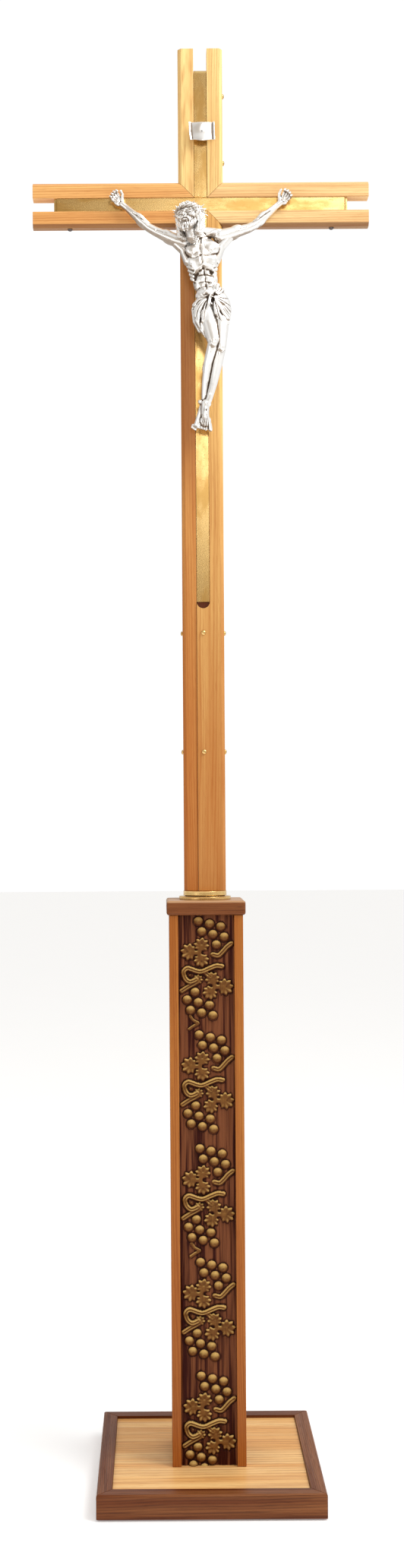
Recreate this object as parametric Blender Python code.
"""Altar cross on a floor stand: a processional crucifix that lifts out of a square carved column.

Metres, +Z up. The origin is the middle of the stand's underside, and the front faces -Y.
Pieces that touch keep a small gap, so every sub-part is a solid of its own.
"""

import math

import bmesh
import bpy
from mathutils import Matrix, Vector

MM = 0.001
GAP = 0.3 * MM
MITRE_GAP = 0.7 * GAP

# Stand: base
BASE_SIDE = 305 * MM
BASE_TOP = 35 * MM
FELT_SIDE = 285 * MM
FELT_THICKNESS = 2 * MM
BASE_BOTTOM = FELT_THICKNESS + GAP
FRAME_WIDTH = 20.5 * MM
FRAME_LEDGE = 8 * MM
FRAME_ROUND = 3 * MM
PANEL_TOP = 31 * MM
PANEL_THICKNESS = 19 * MM
PANEL_BOTTOM = PANEL_TOP - PANEL_THICKNESS
PLATE_TOP = PANEL_BOTTOM - GAP
BOLT_RADIUS = 5 * MM
BOLT_HEAD_RADIUS = 9 * MM
BOLT_HEAD_HEIGHT = 6 * MM
BOLT_LENGTH = 70 * MM

# Stand: column
COLUMN_SIDE = 102 * MM
COLUMN_BOTTOM = PANEL_TOP + GAP
COLUMN_TOP = 791 * MM
POST_SIDE = 12.5 * MM
POST_ROUND = 1.2 * MM
CARVING_SETBACK = 1 * MM
BOTTOM_BLOCK_HEIGHT = 60 * MM
TOP_BLOCK_HEIGHT = 175 * MM

# Stand: cap and collar
CAP_SIDE = 109 * MM
CAP_TOP = 811 * MM
CAP_ROUND = 3.5 * MM
FLANGE_RADIUS = 36.5 * MM
FLANGE_TOP = 815.5 * MM
WASHER_RADIUS = 28 * MM
WASHER_THICKNESS = 0.8 * MM

# Cross: ferrule and tenon
FERRULE_RADIUS = 30.5 * MM
SHAFT_BOTTOM = 823.3 * MM
TENON_RADIUS = 12.7 * MM
TENON_LENGTH = 180 * MM
TENON_SPIGOT_RADIUS = 5 * MM
TENON_SPIGOT_LENGTH = 60 * MM
SOCKET_WALL = 3 * MM
SOCKET_CLEARANCE = 4 * MM
SOCKET_RADIUS = TENON_RADIUS + GAP

# Cross: shaft, head and arms
CROSS_TOP = 2005 * MM
CROSS_THICKNESS = 19 * MM
ARM_HEIGHT = 1786.75 * MM
ARM_REACH = 236 * MM
STRIP_WIDTH = 18.5 * MM
RAIL_WIDTH = 22 * MM
SHAFT_RAIL_WIDTH = 20 * MM
LEFT_RAIL_SETBACK = 1.5 * MM
EDGE_BEVEL = 4.5 * MM
NOTCH_DEPTH = 30 * MM
BRASS_SETBACK = 1.5 * MM
BRASS_THICKNESS = 3 * MM
BRASS_END_BEVEL = 5 * MM
BRASS_CROSSING_BEVEL = 2.6 * MM
BRASS_BEVEL_DROP = 0.7 * BRASS_THICKNESS
BRASS_SHAFT_BOTTOM = 1228.6 * MM

# Round-headed screws and through pins, and where each group stands
ROUND_HEAD_RADIUS = 3.5 * MM
ROUND_HEAD_HEIGHT = 2.4 * MM
SHANK_RADIUS = 1.8 * MM
ROUND_SCREW_LENGTH = 12 * MM
FRONT_SCREW_LENGTH = 6.5 * MM
SHAFT_PIN_HEIGHTS = (1185 * MM, 1018 * MM)
HEAD_PIN_HEIGHTS = (1941 * MM, 1847 * MM)
ARM_SCREW_REACH = 184 * MM

# Scroll above the figure
SCROLL_WIDTH = 36 * MM
SCROLL_HEIGHT = 25 * MM
SCROLL_THICKNESS = 1.6 * MM
SCROLL_CENTRE = Vector((2, -17, 1885)) * MM
SCROLL_WAVE = 3 * MM
SCROLL_PIN_RADIUS = 1.5 * MM
SCROLL_PIN_FRONT = 2.6 * MM
SCROLL_PIN_DEPTH = 6 * MM

# Figure
STUD_RADIUS = 2 * MM
STUD_X = 3 * MM
STUD_HEIGHTS = (1722 * MM, 1645 * MM)
STUD_NUT_RADIUS = 5 * MM
STUD_NUT_HEIGHT = 4 * MM
STUD_FRONT = -22 * MM
SHOULDER_JOINT = 33 * MM
NAIL_RADIUS = 1.1 * MM
NAIL_HEAD_RADIUS = 2.4 * MM
NAIL_HEAD_HEIGHT = 1.6 * MM
NAIL_TIP = 2 * MM
PALM_NAIL = Vector((0, -5.2, -4))
FIGURE_VOXEL = 2.2 * MM
BODY_DETAIL = 0.14
ARM_DETAIL = 0.22
FIGURE_ROOM = ((0.3, 0.05, 1.9), (-0.1, 1.4))

FRONT = -CROSS_THICKNESS / 2
BACK = CROSS_THICKNESS / 2
HALF_STRIP = STRIP_WIDTH / 2
BRASS_FRONT = FRONT + BRASS_SETBACK
BRASS_BACK = BRASS_FRONT + BRASS_THICKNESS
GROOVE_FLOOR = BRASS_BACK + GAP
CORE_END = NOTCH_DEPTH + GAP
FERRULE_BOTTOM = FLANGE_TOP + WASHER_THICKNESS + 2 * GAP
FERRULE_TOP = SHAFT_BOTTOM - GAP
TENON_TOP = FERRULE_BOTTOM - GAP
TENON_BOTTOM = TENON_TOP - TENON_LENGTH


def clear_scene():
    for obj in list(bpy.data.objects):
        bpy.data.objects.remove(obj)


def make_material(name, colour, roughness, metallic=0.0):
    material = bpy.data.materials.new(name)
    material.use_nodes = True
    shader = material.node_tree.nodes["Principled BSDF"]
    shader.inputs["Base Color"].default_value = (*colour, 1)
    shader.inputs["Roughness"].default_value = roughness
    shader.inputs["Metallic"].default_value = metallic
    return material


FINISHES = {
    "oak": ((0.60, 0.31, 0.13), 0.42, 0.0),
    "pale_oak": ((0.78, 0.48, 0.22), 0.45, 0.0),
    "walnut": ((0.19, 0.09, 0.045), 0.4, 0.0),
    "carved_walnut": ((0.27, 0.16, 0.06), 0.45, 0.0),
    "inner_wood": ((0.62, 0.45, 0.27), 0.7, 0.0),
    "brass": ((0.72, 0.46, 0.16), 0.3, 1.0),
    "silver": ((0.85, 0.84, 0.81), 0.22, 1.0),
    "steel": ((0.5, 0.5, 0.5), 0.4, 1.0),
    "felt": ((0.02, 0.09, 0.04), 0.95, 0.0),
    "fibre": ((0.08, 0.04, 0.03), 0.8, 0.0),
}


def add_piece(name, bm, finish):
    """A finished sub-part: the mesh becomes an object with its own material."""
    mesh = bpy.data.meshes.new(name)
    bm.to_mesh(mesh)
    bm.free()
    mesh.shade_smooth()
    mesh.set_sharp_from_angle(angle=math.radians(32))
    piece = bpy.data.objects.new(name, mesh)
    bpy.context.scene.collection.objects.link(piece)
    colour, roughness, metallic = FINISHES[finish]
    mesh.materials.append(make_material(name, colour, roughness, metallic))
    return piece


def add_cutter(name, bm):
    """A guide for a Boolean: it is never a sub-part."""
    cutter = add_piece(name, bm, "steel")
    cutter.hide_render = True
    cutter.display_type = "WIRE"
    return cutter


def cut(piece, *cutters):
    """Cuts the shapes out of the piece, with its faces made triangles before each cut."""
    for cutter in cutters:
        piece.modifiers.new("flat faces", "TRIANGULATE")
        modifier = piece.modifiers.new(cutter.name, "BOOLEAN")
        modifier.operation = "DIFFERENCE"
        modifier.solver = "EXACT"
        modifier.object = cutter


def box(low, high):
    bm = bmesh.new()
    low, high = Vector(low), Vector(high)
    size = high - low
    place = Matrix.Translation((low + high) / 2) @ Matrix.Diagonal((*size, 1))
    bmesh.ops.create_cube(bm, size=1, matrix=place)
    return bm


def loft(starts, ends):
    """A solid between two outlines with the same number of points."""
    bm = bmesh.new()
    first = [bm.verts.new(point) for point in starts]
    last = [bm.verts.new(point) for point in ends]
    bm.faces.new(first)
    bm.faces.new(last)
    for index in range(len(first)):
        bm.faces.new((first[index], first[index - 1], last[index - 1], last[index]))
    bmesh.ops.recalc_face_normals(bm, faces=bm.faces)
    return bm


def arc(centre, radius, start, end, steps):
    """Points of an arc in a plane, angles in degrees."""
    angles = [math.radians(start + (end - start) * step / steps) for step in range(steps + 1)]
    return [(centre[0] + radius * math.cos(a), centre[1] + radius * math.sin(a)) for a in angles]


def turned(profile, segments=32, ring=False):
    """A solid of revolution about Z from (radius, height) points; a ring's outline is closed."""
    bm = bmesh.new()
    verts = [bm.verts.new((radius, 0, height)) for radius, height in profile]
    edges = [bm.edges.new(pair) for pair in zip(verts, verts[1:])]
    if ring:
        edges.append(bm.edges.new((verts[-1], verts[0])))
    bmesh.ops.spin(
        bm, geom=verts + edges, cent=(0, 0, 0), axis=(0, 0, 1),
        angle=math.tau, steps=segments, use_merge=True,
    )
    bmesh.ops.remove_doubles(bm, verts=bm.verts, dist=1e-7)
    bmesh.ops.recalc_face_normals(bm, faces=bm.faces)
    return bm


def aimed(point, direction):
    """The place of a turned shape that stands at a point, with its +Z along a direction."""
    turn = Vector(direction).to_track_quat("Z", "Y").to_matrix().to_4x4()
    return Matrix.Translation(point) @ turn


# ---------------------------------------------------------------- screws and pins


def round_head(base):
    """The outline of a round head that stands on a height, from its crown down to the shank."""
    rise = [
        (ROUND_HEAD_RADIUS * math.cos(a), base + ROUND_HEAD_HEIGHT * math.sin(a))
        for a in (math.pi / 3, math.pi / 6, 0)
    ]
    return [(0, base + ROUND_HEAD_HEIGHT), *rise, (SHANK_RADIUS, base)]


def add_fastener(name, finish, place, outline, hole, segments=12):
    """A turned fastener, and the cutter of its clearance hole."""
    solid = turned(outline, segments)
    solid.transform(place)
    add_piece(name, solid, finish)
    room = turned(hole, segments)
    room.transform(place)
    return add_cutter(f"{name}_hole", room)


def add_round_screw(name, point, outward, length=ROUND_SCREW_LENGTH):
    outline = round_head(GAP) + [(SHANK_RADIUS, -length + 2 * MM), (0, -length)]
    radius = SHANK_RADIUS + GAP
    hole = [(0, MM), (radius, MM), (radius, -length - GAP), (0, -length - GAP)]
    return add_fastener(name, "brass", aimed(point, outward), outline, hole)


def add_through_pin(name, height, reach, two_heads):
    """A pin along X with a round head on the right; the left end has a head too, or lies flush."""
    right = round_head(reach + GAP)
    left = [(radius, -along) for radius, along in reversed(right)]
    outline = right + (left if two_heads else [(SHANK_RADIUS, -reach), (0, -reach)])
    radius = SHANK_RADIUS + GAP
    hole = [(0, reach + MM), (radius, reach + MM), (radius, -reach - MM), (0, -reach - MM)]
    return add_fastener(name, "brass", aimed((0, 0, height), (1, 0, 0)), outline, hole)


# ---------------------------------------------------------------- stand


def build_base_frame():
    """Four mitred mouldings with a rounded outer top edge and a ledge under the panel."""
    half = BASE_SIDE / 2
    ledge_top = PANEL_BOTTOM - GAP
    section = [(0, BASE_BOTTOM)]
    section += [
        (depth, height)
        for depth, height in arc((FRAME_ROUND, BASE_TOP - FRAME_ROUND), FRAME_ROUND, 180, 90, 4)
    ]
    section += [(FRAME_WIDTH, BASE_TOP), (FRAME_WIDTH, ledge_top)]
    section += [(FRAME_WIDTH + FRAME_LEDGE, ledge_top), (FRAME_WIDTH + FRAME_LEDGE, BASE_BOTTOM)]
    for name, turns in (("front", 0), ("right", 1), ("back", 2), ("left", 3)):
        starts = [(-(half - depth - MITRE_GAP), -(half - depth), height) for depth, height in section]
        ends = [(half - depth - MITRE_GAP, -(half - depth), height) for depth, height in section]
        bm = loft(starts, ends)
        bm.transform(Matrix.Rotation(turns * math.pi / 2, 4, "Z"))
        add_piece(f"base_frame_{name}", bm, "walnut")


def build_base():
    build_base_frame()
    felt = FELT_SIDE / 2
    add_piece("base_felt", box((-felt, -felt, 0), (felt, felt, FELT_THICKNESS)), "felt")
    panel_half = BASE_SIDE / 2 - FRAME_WIDTH - GAP
    panel = add_piece(
        "base_panel",
        box((-panel_half, -panel_half, PANEL_BOTTOM), (panel_half, panel_half, PANEL_TOP)),
        "pale_oak",
    )
    plate_half = panel_half - FRAME_LEDGE
    plate = add_piece(
        "ballast_plate",
        box((-plate_half, -plate_half, BASE_BOTTOM), (plate_half, plate_half, PLATE_TOP)),
        "steel",
    )
    bolt_hole = build_column_bolt()
    cut(plate, bolt_hole)
    cut(panel, bolt_hole)
    return bolt_hole


def build_column_bolt():
    """One bolt up through the plate and the panel pulls the column down; its head is let in."""
    tip = BASE_BOTTOM + BOLT_LENGTH
    shoulder = BASE_BOTTOM + BOLT_HEAD_HEIGHT
    outline = [(0, tip), (BOLT_RADIUS - MM, tip), (BOLT_RADIUS, tip - MM), (BOLT_RADIUS, shoulder)]
    outline += [(BOLT_HEAD_RADIUS, shoulder), (BOLT_HEAD_RADIUS, BASE_BOTTOM), (0, BASE_BOTTOM)]
    shank, head = BOLT_RADIUS + GAP, BOLT_HEAD_RADIUS + GAP
    hole = [(0, tip + GAP), (shank, tip + GAP), (shank, shoulder + GAP), (head, shoulder + GAP)]
    hole += [(head, 0), (0, 0)]
    return add_fastener("column_bolt", "steel", Matrix.Identity(4), outline, hole, segments=24)


def build_column(bolt_hole):
    """Corner posts, four carved boards between them, and the glue blocks inside."""
    half = COLUMN_SIDE / 2
    top = COLUMN_TOP - GAP
    inner = half - POST_SIDE + GAP / 2
    round_centre = half - POST_ROUND
    section = [(inner, inner), (half, inner)]
    section += arc((round_centre, round_centre), POST_ROUND, 0, 90, 3)
    section += [(inner, half)]
    for name, turns in (("back_right", 0), ("back_left", 1), ("front_left", 2), ("front_right", 3)):
        bm = loft([(x, y, COLUMN_BOTTOM) for x, y in section], [(x, y, top) for x, y in section])
        bm.transform(Matrix.Rotation(turns * math.pi / 2, 4, "Z"))
        add_piece(f"column_post_{name}", bm, "oak")

    board = half - POST_SIDE - GAP / 2
    face = half - CARVING_SETBACK
    for name, turns in (("front", 0), ("right", 1), ("back", 2), ("left", 3)):
        bm = box((-board, -face, COLUMN_BOTTOM), (board, -inner, top))
        bm.transform(Matrix.Rotation(turns * math.pi / 2, 4, "Z"))
        add_piece(f"carved_panel_{name}", bm, "carved_walnut")

    block = inner - GAP
    bottom_block = add_piece(
        "column_bottom_block",
        box((-block, -block, COLUMN_BOTTOM), (block, block, COLUMN_BOTTOM + BOTTOM_BLOCK_HEIGHT)),
        "inner_wood",
    )
    cut(bottom_block, bolt_hole)
    top_block = add_piece(
        "column_top_block",
        box((-block, -block, top - TOP_BLOCK_HEIGHT), (block, block, top)),
        "inner_wood",
    )
    return top_block


def build_socket(top_block):
    """The cap, the tube that takes the tenon, and the flange over both."""
    half = CAP_SIDE / 2
    cap = add_piece("column_cap", box((-half, -half, COLUMN_TOP), (half, half, CAP_TOP)), "walnut")
    bevel = cap.modifiers.new("rounded edges", "BEVEL")
    bevel.width = CAP_ROUND
    bevel.segments = 3

    outer = SOCKET_RADIUS + SOCKET_WALL
    tube_bottom = TENON_BOTTOM - SOCKET_CLEARANCE
    tube = [(SOCKET_RADIUS, tube_bottom), (outer, tube_bottom), (outer, CAP_TOP), (SOCKET_RADIUS, CAP_TOP)]
    add_piece("socket_tube", turned(tube, 40, ring=True), "brass")
    hole = [(0, tube_bottom - GAP), (outer + GAP, tube_bottom - GAP)]
    hole += [(outer + GAP, CAP_TOP + MM), (0, CAP_TOP + MM)]
    tube_hole = add_cutter("socket_tube_hole", turned(hole, 40))
    cut(top_block, tube_hole)

    bottom = CAP_TOP + GAP
    edge = 1 * MM
    rim = [(SOCKET_RADIUS, bottom), (FLANGE_RADIUS, bottom)]
    rim += arc((FLANGE_RADIUS - edge, FLANGE_TOP - edge), edge, 0, 90, 3)
    rim += [(SOCKET_RADIUS, FLANGE_TOP)]
    add_piece("collar_flange", turned(rim, 64, ring=True), "brass")
    cut(cap, tube_hole)


def build_washer():
    """A loose ring on the flange: it turns with the cross and stays when the cross is lifted."""
    washer_bottom = FLANGE_TOP + GAP
    washer_top = washer_bottom + WASHER_THICKNESS
    washer = [(SOCKET_RADIUS, washer_bottom), (WASHER_RADIUS, washer_bottom)]
    washer += [(WASHER_RADIUS, washer_top), (SOCKET_RADIUS, washer_top)]
    add_piece("thrust_washer", turned(washer, 40, ring=True), "fibre")


# ---------------------------------------------------------------- cross


def build_ferrule():
    """A turned disc under the shaft, clamped by the rod that stands in the socket."""
    edge = 1 * MM
    hole = TENON_SPIGOT_RADIUS + GAP
    outline = [(hole, FERRULE_BOTTOM)]
    outline += arc((FERRULE_RADIUS - edge, FERRULE_BOTTOM + edge), edge, -90, 0, 3)
    outline += arc((FERRULE_RADIUS - edge, FERRULE_TOP - edge), edge, 0, 90, 3)
    outline += [(hole, FERRULE_TOP)]
    add_piece("ferrule_disc", turned(outline, 64, ring=True), "brass")

    nose = 2 * MM
    spigot_top = FERRULE_TOP + TENON_SPIGOT_LENGTH
    rod = [(0, TENON_BOTTOM), (TENON_RADIUS - nose, TENON_BOTTOM), (TENON_RADIUS, TENON_BOTTOM + nose)]
    rod += [(TENON_RADIUS, TENON_TOP), (TENON_SPIGOT_RADIUS, TENON_TOP)]
    rod += [(TENON_SPIGOT_RADIUS, spigot_top), (0, spigot_top)]
    add_piece("tenon_rod", turned(rod, 40), "steel")
    hole = [(0, SHAFT_BOTTOM - MM), (TENON_SPIGOT_RADIUS + GAP, SHAFT_BOTTOM - MM)]
    hole += [(TENON_SPIGOT_RADIUS + GAP, spigot_top + GAP), (0, spigot_top + GAP)]
    return add_cutter("tenon_spigot_hole", turned(hole, 40))


def rail_section(width, front, overhang=0.0):
    """Across a rail: the distance outward from its joint, and y. The outer edges are bevelled."""
    return [
        (-overhang, front),
        (width - EDGE_BEVEL, front),
        (width, front + EDGE_BEVEL),
        (width, BACK - EDGE_BEVEL),
        (width - EDGE_BEVEL, BACK),
        (-overhang, BACK),
    ]


def vertical_rail(side, up, width, far_end, front=FRONT):
    """A rail beside the middle strip, mitred where it meets the arm; side and up are -1 or 1."""
    mitred, free = [], []
    for outward, y in rail_section(width - GAP / 2, front):
        across = side * (HALF_STRIP + GAP / 2 + outward)
        along = HALF_STRIP + GAP / 2 + outward + MITRE_GAP
        mitred.append((across, y, ARM_HEIGHT + up * along))
        free.append((across, y, far_end))
    return loft(mitred, free)


def arm_rail(side, up):
    mitred, free = [], []
    for outward, y in rail_section(RAIL_WIDTH - GAP / 2, FRONT):
        across = HALF_STRIP + GAP / 2 + outward
        mitred.append((side * (across + MITRE_GAP), y, ARM_HEIGHT + up * across))
        free.append((side * ARM_REACH, y, ARM_HEIGHT + up * across))
    return loft(mitred, free)


def shaft_board():
    """The wide board: its left part carries the brass strip in a stopped groove.

    The top is flat over the left part and mitred over the rest, so a crease runs across it.
    """
    section = rail_section(SHAFT_RAIL_WIDTH, FRONT, overhang=STRIP_WIDTH - GAP / 2)
    crease = GAP / 2
    section = [section[0], (crease, FRONT), *section[1:-1], (crease, BACK), section[-1]]
    top, bottom = [], []
    for outward, y in section:
        x = HALF_STRIP + outward
        beyond = max(outward, 0)
        top.append((x, y, ARM_HEIGHT - HALF_STRIP - GAP - beyond))
        bottom.append((x, y, SHAFT_BOTTOM))
    bm = loft(top, bottom)
    bm.verts.ensure_lookup_table()
    bmesh.ops.connect_verts(bm, verts=[bm.verts[1], bm.verts[len(section) - 2]])
    return bm


def groove_cutter():
    """Straight sides from a half-round lower end up to the arms, open towards the left rail."""
    centre = BRASS_SHAFT_BOTTOM
    outline = arc((0, centre), HALF_STRIP, 180, 360, 16)
    outline = [(-HALF_STRIP - MM, outline[0][1]), *outline]
    outline += [(HALF_STRIP, ARM_HEIGHT), (-HALF_STRIP - MM, ARM_HEIGHT)]
    near = [(x, FRONT - MM, z) for x, z in outline]
    far = [(x, GROOVE_FLOOR, z) for x, z in outline]
    return add_cutter("shaft_groove", loft(near, far))


def brass_strip(length, bevel_start, bevel_end):
    """A strip along +X from x = 0, its face towards -Y; each end's bevel has its own length, or 0."""
    half = HALF_STRIP - GAP
    outline = [(0, BRASS_BACK)]
    if bevel_start:
        outline.append((0, BRASS_FRONT + BRASS_BEVEL_DROP))
    outline += [(bevel_start, BRASS_FRONT), (length - bevel_end, BRASS_FRONT)]
    if bevel_end:
        outline.append((length, BRASS_FRONT + BRASS_BEVEL_DROP))
    outline.append((length, BRASS_BACK))
    return loft([(x, y, -half) for x, y in outline], [(x, y, half) for x, y in outline])


def build_brass():
    reach = ARM_REACH - NOTCH_DEPTH
    arms = brass_strip(2 * reach, BRASS_END_BEVEL, BRASS_END_BEVEL)
    arms.transform(Matrix.Translation((-reach, 0, ARM_HEIGHT)))
    upright = Matrix.Rotation(-math.pi / 2, 4, "Y")
    head_start = ARM_HEIGHT + HALF_STRIP
    head = brass_strip(CROSS_TOP - NOTCH_DEPTH - head_start, BRASS_CROSSING_BEVEL, BRASS_END_BEVEL)
    head.transform(Matrix.Translation((0, 0, head_start)) @ upright)
    shaft = brass_strip(ARM_HEIGHT - HALF_STRIP - BRASS_SHAFT_BOTTOM, 0, 0)
    shaft.transform(Matrix.Translation((0, 0, BRASS_SHAFT_BOTTOM)) @ upright)
    strips = {"arms": arms, "head": head, "shaft": shaft}
    return {name: add_piece(f"brass_strip_{name}", bm, "brass") for name, bm in strips.items()}


def build_cross_wood(spigot_hole):
    left_front = FRONT + LEFT_RAIL_SETBACK
    pieces = {
        "shaft_left_rail": vertical_rail(-1, -1, SHAFT_RAIL_WIDTH, SHAFT_BOTTOM, left_front),
        "shaft_board": shaft_board(),
        "head_rail_left": vertical_rail(-1, 1, RAIL_WIDTH, CROSS_TOP),
        "head_rail_right": vertical_rail(1, 1, RAIL_WIDTH, CROSS_TOP),
    }
    for side, side_name in ((-1, "left"), (1, "right")):
        for up, up_name in ((1, "upper"), (-1, "lower")):
            pieces[f"arm_rail_{side_name}_{up_name}"] = arm_rail(side, up)
    core = HALF_STRIP - GAP / 2
    reach = ARM_REACH - CORE_END
    pieces["arm_core"] = box(
        (-reach, GROOVE_FLOOR, ARM_HEIGHT - core), (reach, BACK, ARM_HEIGHT + core)
    )
    pieces["head_core"] = box(
        (-core, GROOVE_FLOOR, ARM_HEIGHT + core + GAP), (core, BACK, CROSS_TOP - CORE_END)
    )
    wood = {name: add_piece(name, bm, "oak") for name, bm in pieces.items()}
    cut(wood["shaft_board"], groove_cutter(), spigot_hole)
    return wood


def build_round_screws(wood):
    shaft_side = HALF_STRIP + SHAFT_RAIL_WIDTH
    outer = HALF_STRIP + RAIL_WIDTH
    for height, name in zip(SHAFT_PIN_HEIGHTS, ("upper", "lower")):
        screw_hole = add_round_screw(
            f"front_screw_{name}", (0, FRONT, height), (0, -1, 0), FRONT_SCREW_LENGTH
        )
        pin_hole = add_through_pin(f"shaft_pin_{name}", height, shaft_side, two_heads=True)
        cut(wood["shaft_board"], screw_hole, pin_hole)
        cut(wood["shaft_left_rail"], pin_hole)
    for height, name in zip(HEAD_PIN_HEIGHTS, ("upper", "lower")):
        pin_hole = add_through_pin(f"head_pin_{name}", height, outer, two_heads=False)
        for piece in ("head_rail_left", "head_rail_right", "head_core"):
            cut(wood[piece], pin_hole)
    for side, name in ((-1, "left"), (1, "right")):
        point = (side * ARM_SCREW_REACH, 0, ARM_HEIGHT - outer)
        hole = add_round_screw(f"arm_screw_{name}", point, (0, 0, -1))
        cut(wood[f"arm_rail_{name}_lower"], hole)


def build_scroll(wood, head_brass):
    """A curled plate on a pin; nothing is written on it."""
    steps = 16
    half = SCROLL_WIDTH / 2
    near, far = [], []
    for step in range(steps + 1):
        x = -half + SCROLL_WIDTH * step / steps
        wave = SCROLL_WAVE * math.sin(math.pi * x / half)
        near.append((x, wave - SCROLL_THICKNESS / 2))
        far.append((x, wave + SCROLL_THICKNESS / 2))
    outline = near + far[::-1]
    low, high = -SCROLL_HEIGHT / 2, SCROLL_HEIGHT / 2
    plate = loft([(x, y, low) for x, y in outline], [(x, y, high) for x, y in outline])
    plate.transform(Matrix.Translation(SCROLL_CENTRE))
    scroll = add_piece("title_scroll", plate, "silver")

    front_end = SCROLL_CENTRE.y - SCROLL_PIN_FRONT
    rear_end = GROOVE_FLOOR + SCROLL_PIN_DEPTH
    radius = SCROLL_PIN_RADIUS
    outline = [(0, rear_end), (radius, rear_end), (radius, front_end), (0, front_end)]
    radius += GAP
    hole = [(0, rear_end + GAP), (radius, rear_end + GAP), (radius, front_end - GAP), (0, front_end - GAP)]
    place = aimed((SCROLL_CENTRE.x, 0, SCROLL_CENTRE.z), (0, 1, 0))
    pin_hole = add_fastener("scroll_pin", "silver", place, outline, hole)
    cut(scroll, pin_hole)
    cut(wood["head_core"], pin_hole)
    cut(head_brass, pin_hole)


# ---------------------------------------------------------------- figure


def add_ball(bm, centre, radii, tilt=0.0):
    """An ellipsoid, tilted about Y by degrees."""
    place = Matrix.Translation(Vector(centre) * MM) @ Matrix.Rotation(math.radians(tilt), 4, "Y")
    place = place @ Matrix.Diagonal((*[radius * MM for radius in radii], 1))
    bmesh.ops.create_icosphere(bm, subdivisions=3, radius=1, matrix=place)


def add_limb(bm, *joints):
    """Tapered stretches between (x, y, z, radius) joints, with a ball at each joint."""
    for joint in joints:
        add_ball(bm, joint[:3], [joint[3]] * 3)
    for start, end in zip(joints, joints[1:]):
        low, high = Vector(start[:3]) * MM, Vector(end[:3]) * MM
        middle = Matrix.Translation((low + high) / 2)
        turn = (high - low).to_track_quat("Z", "Y").to_matrix().to_4x4()
        bmesh.ops.create_cone(
            bm, cap_ends=True, segments=20, radius1=start[3] * MM, radius2=end[3] * MM,
            depth=(high - low).length, matrix=middle @ turn,
        )


def add_figure_piece(name, bm, detail):
    """Overlapping forms become one skin, thinned to the share of its faces that detail says."""
    piece = add_piece(name, bm, "silver")
    skin = piece.modifiers.new("skin", "REMESH")
    skin.mode = "VOXEL"
    skin.voxel_size = FIGURE_VOXEL
    thin = piece.modifiers.new("thin", "DECIMATE")
    thin.ratio = detail
    return piece


def add_nail(name, point):
    """A nail along Y, driven through the figure into the wood; the point is under its head."""
    crown = point.y - NAIL_HEAD_HEIGHT
    outline = [(0, NAIL_TIP), (NAIL_RADIUS, NAIL_TIP - 2 * MM), (NAIL_RADIUS, point.y)]
    outline += [(NAIL_HEAD_RADIUS, point.y), (0.6 * NAIL_HEAD_RADIUS, crown + 0.3 * MM), (0, crown)]
    room = NAIL_RADIUS + GAP
    hole = [(0, NAIL_TIP + GAP), (room, NAIL_TIP + GAP), (room, point.y), (0, point.y)]
    place = aimed((point.x, 0, point.z), (0, 1, 0))
    return add_fastener(name, "silver", place, outline, hole)


def half_space(name, side, offset):
    """Everything beyond the shoulder joint on one side, as a cutter; side is -1 or 1."""
    (reach, back, top), (front, bottom) = FIGURE_ROOM
    low, high = sorted((side * offset, side * reach))
    return add_cutter(name, box((low, front, bottom), (high, back, top)))


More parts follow.
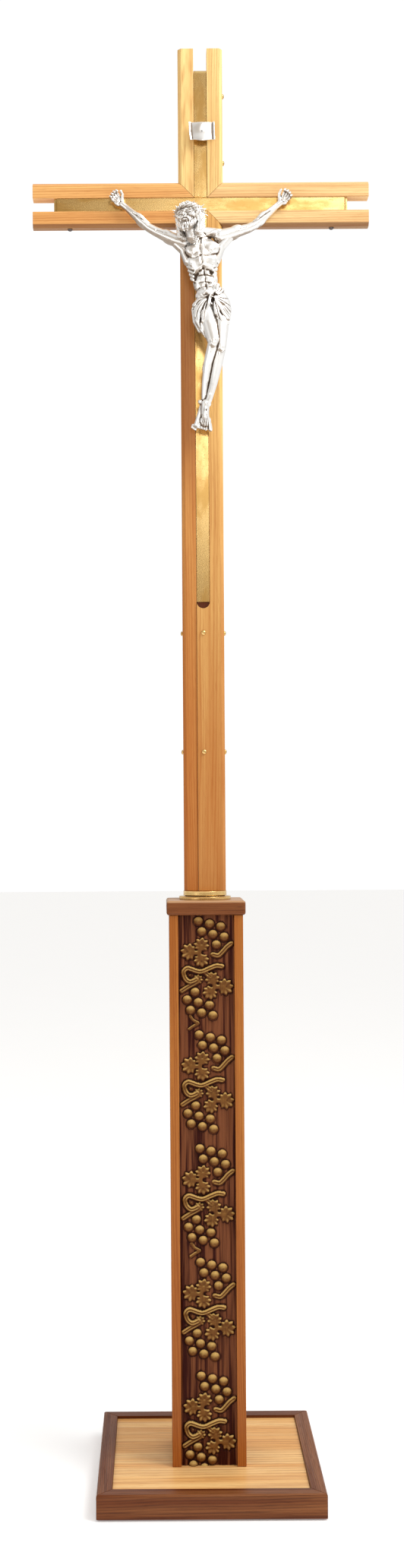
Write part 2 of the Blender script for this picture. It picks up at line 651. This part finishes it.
def build_figure(wood, brass):
    body = bmesh.new()
    add_ball(body, (-17, -38, 1754), (16.5, 17, 23), tilt=-10)
    add_ball(body, (-17, -36, 1766), (21, 19, 13), tilt=-10)
    add_ball(body, (-3, -34, 1741), (10, 11, 15))
    add_ball(body, (-21, -44, 1735), (8, 9, 9))
    add_limb(body, (0, -26, 1734, 10), (-12, -33, 1750, 9))
    add_limb(body, (-28, -24, 1729, 10), (2, -26, 1730, 12), (28, -24, 1737, 10))
    add_ball(body, (2, -28, 1708), (26.5, 16, 30))
    add_ball(body, (5, -26, 1668), (17, 12, 26), tilt=6)
    add_ball(body, (12, -29, 1645), (24, 17, 24))
    add_ball(body, (20, -31, 1628), (23, 19, 25))
    add_limb(body, (-4, -36, 1640, 9), (-6, -36, 1620, 7), (2, -36, 1594, 5))
    add_limb(body, (5, -32, 1632, 13), (14, -46, 1580, 9.5), (3, -27, 1506, 5))
    add_limb(body, (27, -32, 1632, 14), (27.5, -46, 1576, 10), (19, -36, 1524, 7), (6, -31, 1502, 6))
    add_limb(body, (1, -25, 1504, 5.5), (-8, -18, 1473, 4.2))
    add_limb(body, (5, -31, 1502, 6.2), (9, -22, 1470, 5.2))
    body_piece = add_figure_piece("corpus_body", body, BODY_DETAIL)
    feet_hole = add_nail("nail_feet", Vector((5, -34.6, 1488)) * MM)
    for piece in (body_piece, brass["shaft"], wood["shaft_board"]):
        cut(piece, feet_hole)

    for side, name, shoulder, elbow, wrist, hand in (
        (-1, "left", (-28, -24, 1729), (-72, -20, 1749), (-104, -17, 1778), (-116, -15, 1793)),
        (1, "right", (28, -24, 1737), (75, -20, 1752), (104, -17, 1779), (117, -15, 1794)),
    ):
        arm = bmesh.new()
        add_limb(arm, (*shoulder, 10), (*elbow, 7), (*wrist, 5))
        add_limb(arm, (*wrist, 5), (*hand, 4.2))
        add_ball(arm, hand, (9.5, 4.2, 8), tilt=side * -40)
        piece = add_figure_piece(f"corpus_arm_{name}", arm, ARM_DETAIL)
        inner = half_space(f"inside_{name}_shoulder", -side, -SHOULDER_JOINT - GAP / 2)
        cut(piece, inner)
        cut(body_piece, half_space(f"outside_{name}_shoulder", side, SHOULDER_JOINT - GAP / 2))
        palm = Vector(hand) + PALM_NAIL
        nail_hole = add_nail(f"nail_{name}_hand", palm * MM)
        for pierced in (piece, brass["arms"], wood["arm_core"]):
            cut(pierced, nail_hole)

    for height, name in zip(STUD_HEIGHTS, ("upper", "lower")):
        nut = BACK + GAP
        outline = [(0, nut + STUD_NUT_HEIGHT), (0.6 * STUD_NUT_RADIUS, nut + 0.9 * STUD_NUT_HEIGHT)]
        outline += [(STUD_NUT_RADIUS, nut + 0.5 * STUD_NUT_HEIGHT), (STUD_NUT_RADIUS, nut)]
        outline += [(STUD_RADIUS, nut), (STUD_RADIUS, STUD_FRONT), (0, STUD_FRONT)]
        room = STUD_RADIUS + GAP
        hole = [(0, nut), (room, nut), (room, STUD_FRONT - GAP), (0, STUD_FRONT - GAP)]
        place = aimed((STUD_X, 0, height), (0, 1, 0))
        stud_hole = add_fastener(f"corpus_stud_{name}", "brass", place, outline, hole)
        for piece in (body_piece, brass["shaft"], wood["shaft_board"]):
            cut(piece, stud_hole)


# ---------------------------------------------------------------- assembly


def build_stand():
    bolt_hole = build_base()
    top_block = build_column(bolt_hole)
    build_socket(top_block)


def build_cross():
    wood = build_cross_wood(build_ferrule())
    brass = build_brass()
    build_round_screws(wood)
    build_scroll(wood, brass["head"])
    build_figure(wood, brass)


def gather(name, build):
    """Builds one moving group under an empty, which stands on the axis of the swivel and the lift."""
    before = set(bpy.data.objects)
    build()
    made = set(bpy.data.objects) - before
    empty = bpy.data.objects.new(name, None)
    bpy.context.scene.collection.objects.link(empty)
    for piece in made:
        piece.parent = empty


def main():
    clear_scene()
    gather("stand", build_stand)
    gather("swivel", build_washer)
    gather("cross", build_cross)


main()
